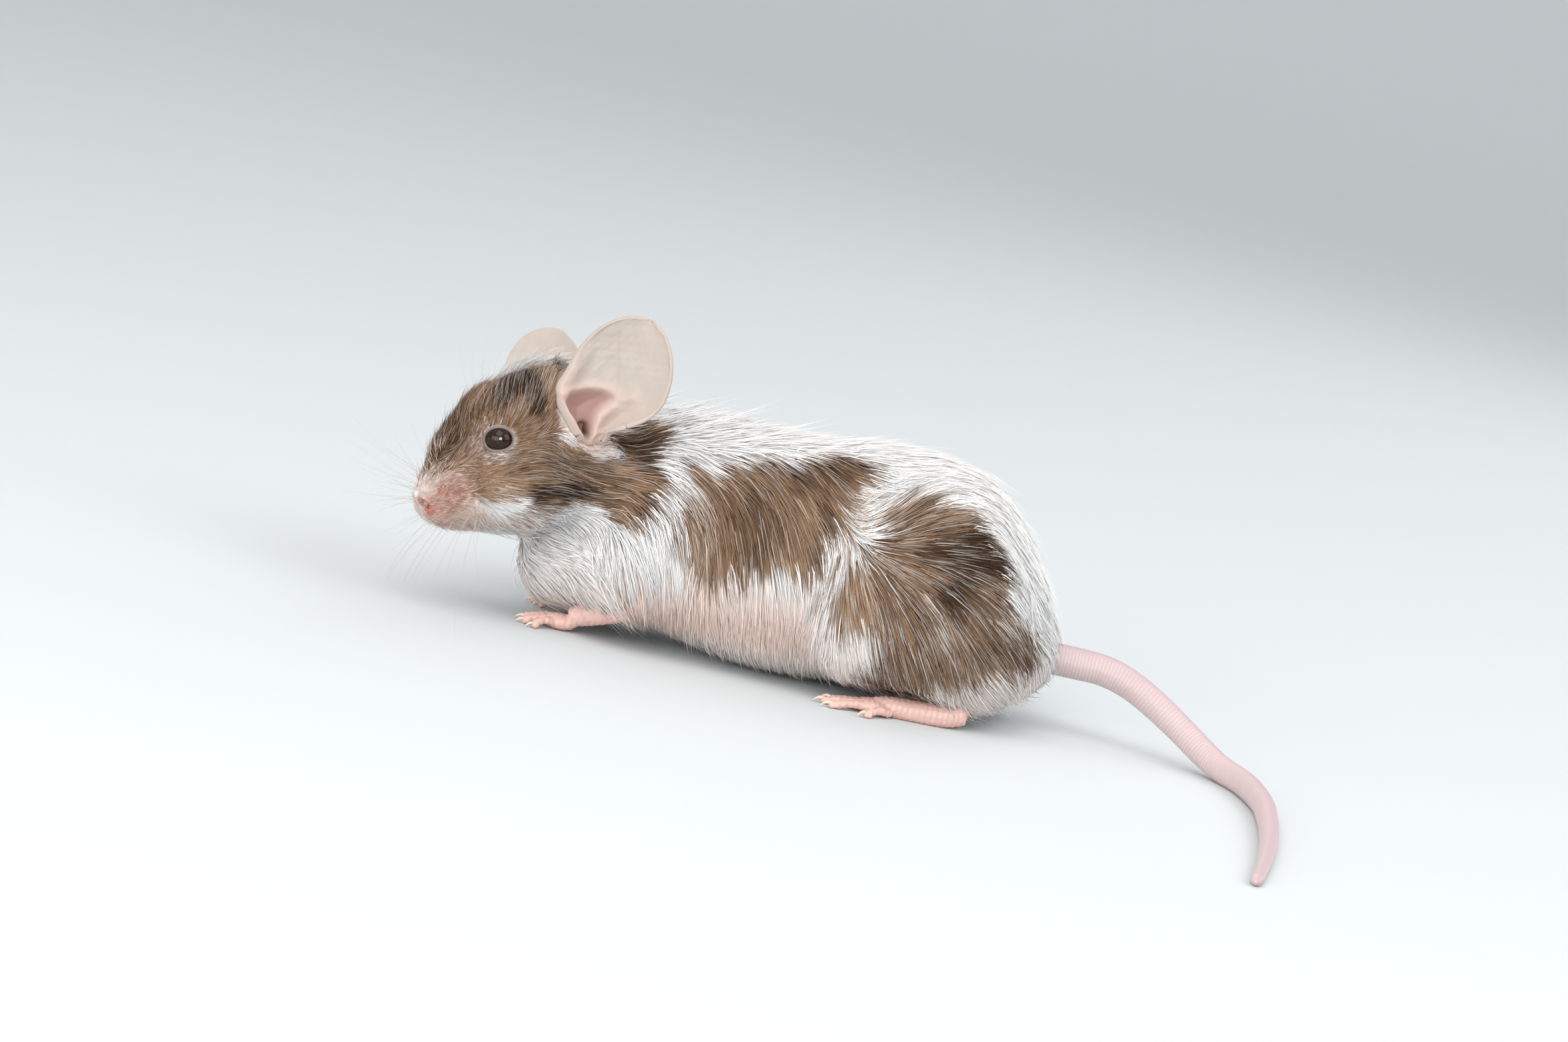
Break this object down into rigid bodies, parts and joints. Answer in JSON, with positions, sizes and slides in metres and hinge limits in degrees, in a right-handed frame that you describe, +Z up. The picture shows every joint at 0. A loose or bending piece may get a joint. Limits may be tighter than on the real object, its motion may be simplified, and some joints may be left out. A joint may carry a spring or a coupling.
{
  "type": "house mouse",
  "caption": "House mouse in a low crouch on flat ground, head turned a little to its left, round ears up and tail laid in a curve beside it.",
  "frame": {"origin": "on the floor, under the middle of the bounding box of the whole animal with its tail", "axes": "+X from the nose towards the tail, +Y towards the animal's right side, +Z up from the floor it rests on"},
  "size_m": [0.1126, 0.076, 0.0416],
  "materials": {
    "coat": "soft, matt coat",
    "ear_skin": "thin bare skin, matt",
    "foot_skin": "bare skin, matt",
    "tail_skin": "finely ringed bare skin, matt",
    "eye": "wet and glossy"
  },
  "bodies": {
    "root": {"ear_left": "ear_skin", "ear_right": "ear_skin", "eye_left": "eye", "eye_right": "eye", "foreleg_left": "coat", "foreleg_right": "coat", "forepaw_left": "foot_skin", "forepaw_right": "foot_skin", "head": "coat", "hindfoot_left": "foot_skin", "hindfoot_right": "foot_skin", "hindleg_left": "coat", "hindleg_right": "coat", "neck": "coat", "tail_base": "tail_skin", "tail_middle": "tail_skin", "tail_tip": "tail_skin", "trunk": "coat"}
  },
  "joints": []
}
